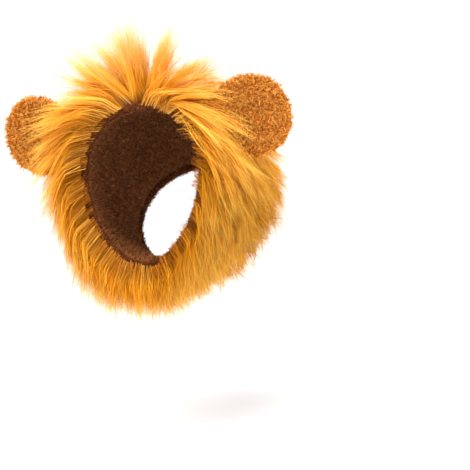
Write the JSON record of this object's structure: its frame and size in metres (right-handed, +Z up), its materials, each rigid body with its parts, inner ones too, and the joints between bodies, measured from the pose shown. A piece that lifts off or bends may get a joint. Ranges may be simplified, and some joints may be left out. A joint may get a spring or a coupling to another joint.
{
  "type": "pet lion mane wig",
  "caption": "Plush hood for a small pet with a long golden fur mane round the face opening, a fan of fur standing at the forehead and two round plush ears.",
  "frame": {"origin": "where the crown of the head sits against the inside of the hood", "axes": "+X to the viewer's right as seen from the front, +Z up, the face opening towards -Y"},
  "size_m": [0.2053, 0.1679, 0.2179],
  "materials": {
    "hood_plush": "reddish brown short plush",
    "hem_plush": "dark reddish brown turned plush edge",
    "mane_fur": "long golden orange faux fur with paler tips",
    "crest_fur": "long golden faux fur with pale cream tips",
    "ear_plush": "curly coral fleece, golden brown"
  },
  "bodies": {
    "root": {"hood": "hood_plush", "face_hem": "hem_plush", "neck_hem": "hem_plush", "mane": "mane_fur", "crest": "crest_fur", "ear_left": "ear_plush", "ear_right": "ear_plush"}
  },
  "joints": []
}
